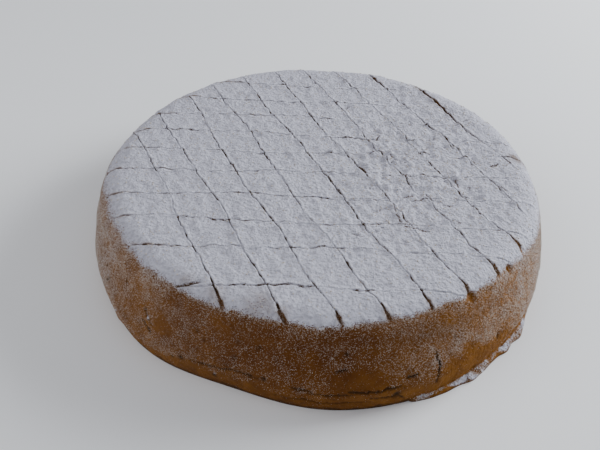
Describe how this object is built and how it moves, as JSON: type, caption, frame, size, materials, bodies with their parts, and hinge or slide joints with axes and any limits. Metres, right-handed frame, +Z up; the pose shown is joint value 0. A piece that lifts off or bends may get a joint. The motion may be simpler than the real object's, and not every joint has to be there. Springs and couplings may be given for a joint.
{
  "type": "apple pie",
  "caption": "Whole round apple pie without its tin, uncut, its flat top scored into diamonds and dusted with icing sugar.",
  "frame": {"origin": "middle of the underside, at the bottom of the part's box", "axes": "+Z up out of the scored top, -Y towards the side that faces the viewer, +X to that viewer's right"},
  "size_m": [0.2618, 0.259, 0.05],
  "materials": {
    "pie": "matte"
  },
  "bodies": {
    "root": {"pie": "pie"}
  },
  "joints": []
}
